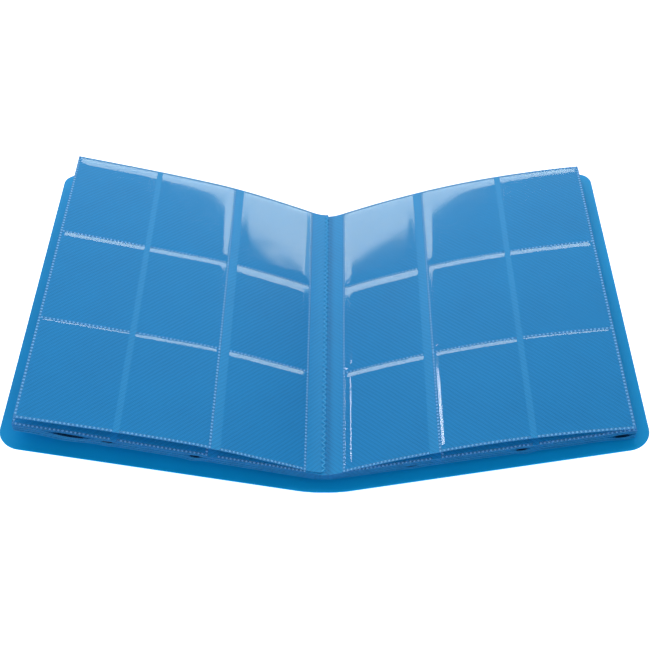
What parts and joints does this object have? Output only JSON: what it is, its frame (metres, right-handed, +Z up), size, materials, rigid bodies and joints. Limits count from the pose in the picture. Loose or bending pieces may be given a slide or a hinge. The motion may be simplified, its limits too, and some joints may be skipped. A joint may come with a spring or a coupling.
{
  "type": "trading card binder",
  "caption": "Side-loading trading card binder lying open, with folded leaves of clear card pockets stitched at the spine inside a flexible cover.",
  "frame": {"origin": "under the middle of the spine panel, on the surface that the binder rests on", "axes": "+X from the front cover towards the back cover, +Y along the spine towards the head, +Z up"},
  "size_m": [0.4826, 0.306, 0.0901],
  "materials": {
    "cover_board": "satin",
    "sheet": "embossed matt",
    "pocket_film": "clear",
    "binding": "matt",
    "thread": "matt"
  },
  "bodies": {
    "spine": {"spine_panel": "cover_board", "binding_strip": "binding", "stitch_thread": "thread", "sheet_fold_01": "sheet", "sheet_fold_02": "sheet", "sheet_fold_03": "sheet", "sheet_fold_04": "sheet", "sheet_fold_05": "sheet", "sheet_fold_06": "sheet", "sheet_fold_07": "sheet", "sheet_fold_08": "sheet", "sheet_fold_09": "sheet", "sheet_fold_10": "sheet"},
    "front_cover": {"front_cover_panel": "cover_board"},
    "front_leaf_01": {"front_leaf_01": "sheet", "front_leaf_01_film_upper_inner": "pocket_film", "front_leaf_01_film_upper_middle": "pocket_film", "front_leaf_01_film_upper_outer": "pocket_film", "front_leaf_01_film_lower_inner": "pocket_film", "front_leaf_01_film_lower_middle": "pocket_film", "front_leaf_01_film_lower_outer": "pocket_film"},
    "front_leaf_02": {"front_leaf_02": "sheet"},
    "front_leaf_03": {"front_leaf_03": "sheet"},
    "front_leaf_04": {"front_leaf_04": "sheet"},
    "front_leaf_05": {"front_leaf_05": "sheet"},
    "front_leaf_06": {"front_leaf_06": "sheet"},
    "front_leaf_07": {"front_leaf_07": "sheet"},
    "front_leaf_08": {"front_leaf_08": "sheet"},
    "front_leaf_09": {"front_leaf_09": "sheet"},
    "front_leaf_10": {"front_leaf_10": "sheet"},
    "back_cover": {"back_cover_panel": "cover_board"},
    "back_leaf_01": {"back_leaf_01": "sheet", "back_leaf_01_film_upper_inner": "pocket_film", "back_leaf_01_film_upper_middle": "pocket_film", "back_leaf_01_film_upper_outer": "pocket_film", "back_leaf_01_film_lower_inner": "pocket_film", "back_leaf_01_film_lower_middle": "pocket_film", "back_leaf_01_film_lower_outer": "pocket_film"},
    "back_leaf_02": {"back_leaf_02": "sheet"},
    "back_leaf_03": {"back_leaf_03": "sheet"},
    "back_leaf_04": {"back_leaf_04": "sheet"},
    "back_leaf_05": {"back_leaf_05": "sheet"},
    "back_leaf_06": {"back_leaf_06": "sheet"},
    "back_leaf_07": {"back_leaf_07": "sheet"},
    "back_leaf_08": {"back_leaf_08": "sheet"},
    "back_leaf_09": {"back_leaf_09": "sheet"},
    "back_leaf_10": {"back_leaf_10": "sheet"}
  },
  "joints": [
    {"name": "front_cover_hinge", "type": "hinge", "parent": "spine", "child": "front_cover", "pos_m": [-0.012, 0, 0.0006], "axis": [0, -1, 0], "range_deg": [-74.6, 15.4]},
    {"name": "front_leaf_10_hinge", "type": "hinge", "parent": "spine", "child": "front_leaf_10", "pos_m": [-0.0106, 0, 0.0081], "axis": [0, -1, 0], "range_deg": [-73.4, 15.16]},
    {"name": "front_leaf_09_hinge", "type": "hinge", "parent": "spine", "child": "front_leaf_09", "pos_m": [-0.00995, 0, 0.00885], "axis": [0, -1, 0], "range_deg": [-73.4, 15.16]},
    {"name": "front_leaf_08_hinge", "type": "hinge", "parent": "spine", "child": "front_leaf_08", "pos_m": [-0.0093, 0, 0.0096], "axis": [0, -1, 0], "range_deg": [-73.4, 15.16]},
    {"name": "front_leaf_07_hinge", "type": "hinge", "parent": "spine", "child": "front_leaf_07", "pos_m": [-0.00865, 0, 0.01035], "axis": [0, -1, 0], "range_deg": [-73.4, 15.16]},
    {"name": "front_leaf_06_hinge", "type": "hinge", "parent": "spine", "child": "front_leaf_06", "pos_m": [-0.008, 0, 0.0111], "axis": [0, -1, 0], "range_deg": [-73.4, 15.16]},
    {"name": "front_leaf_05_hinge", "type": "hinge", "parent": "spine", "child": "front_leaf_05", "pos_m": [-0.00735, 0, 0.01185], "axis": [0, -1, 0], "range_deg": [-73.4, 15.16]},
    {"name": "front_leaf_04_hinge", "type": "hinge", "parent": "spine", "child": "front_leaf_04", "pos_m": [-0.0067, 0, 0.0126], "axis": [0, -1, 0], "range_deg": [-73.4, 15.16]},
    {"name": "front_leaf_03_hinge", "type": "hinge", "parent": "spine", "child": "front_leaf_03", "pos_m": [-0.00605, 0, 0.01335], "axis": [0, -1, 0], "range_deg": [-73.4, 15.16]},
    {"name": "front_leaf_02_lift", "type": "hinge", "parent": "front_leaf_03", "child": "front_leaf_02", "pos_m": [-0.0054, 0, 0.0141], "axis": [0, 1, 0], "range_deg": [0, 3]},
    {"name": "front_leaf_01_turn", "type": "hinge", "parent": "front_leaf_02", "child": "front_leaf_01", "pos_m": [-0.0042, 0, 0.015], "axis": [0, 1, 0], "range_deg": [-1.8, 24]},
    {"name": "back_cover_hinge", "type": "hinge", "parent": "spine", "child": "back_cover", "pos_m": [0.012, 0, 0.0006], "axis": [0, 1, 0], "range_deg": [-74.6, 15.4]},
    {"name": "back_leaf_10_hinge", "type": "hinge", "parent": "spine", "child": "back_leaf_10", "pos_m": [0.0106, 0, 0.0081], "axis": [0, 1, 0], "range_deg": [-75.3, 15.55]},
    {"name": "back_leaf_09_hinge", "type": "hinge", "parent": "spine", "child": "back_leaf_09", "pos_m": [0.00995, 0, 0.00885], "axis": [0, 1, 0], "range_deg": [-75.3, 15.55]},
    {"name": "back_leaf_08_hinge", "type": "hinge", "parent": "spine", "child": "back_leaf_08", "pos_m": [0.0093, 0, 0.0096], "axis": [0, 1, 0], "range_deg": [-75.3, 15.55]},
    {"name": "back_leaf_07_hinge", "type": "hinge", "parent": "spine", "child": "back_leaf_07", "pos_m": [0.00865, 0, 0.01035], "axis": [0, 1, 0], "range_deg": [-75.3, 15.55]},
    {"name": "back_leaf_06_hinge", "type": "hinge", "parent": "spine", "child": "back_leaf_06", "pos_m": [0.008, 0, 0.0111], "axis": [0, 1, 0], "range_deg": [-75.3, 15.55]},
    {"name": "back_leaf_05_hinge", "type": "hinge", "parent": "spine", "child": "back_leaf_05", "pos_m": [0.00735, 0, 0.01185], "axis": [0, 1, 0], "range_deg": [-75.3, 15.55]},
    {"name": "back_leaf_04_hinge", "type": "hinge", "parent": "spine", "child": "back_leaf_04", "pos_m": [0.0067, 0, 0.0126], "axis": [0, 1, 0], "range_deg": [-75.3, 15.55]},
    {"name": "back_leaf_03_hinge", "type": "hinge", "parent": "spine", "child": "back_leaf_03", "pos_m": [0.00605, 0, 0.01335], "axis": [0, 1, 0], "range_deg": [-75.3, 15.55]},
    {"name": "back_leaf_02_lift", "type": "hinge", "parent": "back_leaf_03", "child": "back_leaf_02", "pos_m": [0.0054, 0, 0.0141], "axis": [0, -1, 0], "range_deg": [0, 3]},
    {"name": "back_leaf_01_turn", "type": "hinge", "parent": "back_leaf_02", "child": "back_leaf_01", "pos_m": [0.0042, 0, 0.015], "axis": [0, -1, 0], "range_deg": [-0.4, 136]}
  ],
  "couplings": [
    {"joint": "front_leaf_10_hinge", "follows": "front_cover_hinge", "ratio": 0.98391},
    {"joint": "front_leaf_09_hinge", "follows": "front_cover_hinge", "ratio": 0.98391},
    {"joint": "front_leaf_08_hinge", "follows": "front_cover_hinge", "ratio": 0.98391},
    {"joint": "front_leaf_07_hinge", "follows": "front_cover_hinge", "ratio": 0.98391},
    {"joint": "front_leaf_06_hinge", "follows": "front_cover_hinge", "ratio": 0.98391},
    {"joint": "front_leaf_05_hinge", "follows": "front_cover_hinge", "ratio": 0.98391},
    {"joint": "front_leaf_04_hinge", "follows": "front_cover_hinge", "ratio": 0.98391},
    {"joint": "front_leaf_03_hinge", "follows": "front_cover_hinge", "ratio": 0.98391},
    {"joint": "back_leaf_10_hinge", "follows": "back_cover_hinge", "ratio": 1.0094},
    {"joint": "back_leaf_09_hinge", "follows": "back_cover_hinge", "ratio": 1.0094},
    {"joint": "back_leaf_08_hinge", "follows": "back_cover_hinge", "ratio": 1.0094},
    {"joint": "back_leaf_07_hinge", "follows": "back_cover_hinge", "ratio": 1.0094},
    {"joint": "back_leaf_06_hinge", "follows": "back_cover_hinge", "ratio": 1.0094},
    {"joint": "back_leaf_05_hinge", "follows": "back_cover_hinge", "ratio": 1.0094},
    {"joint": "back_leaf_04_hinge", "follows": "back_cover_hinge", "ratio": 1.0094},
    {"joint": "back_leaf_03_hinge", "follows": "back_cover_hinge", "ratio": 1.0094}
  ]
}
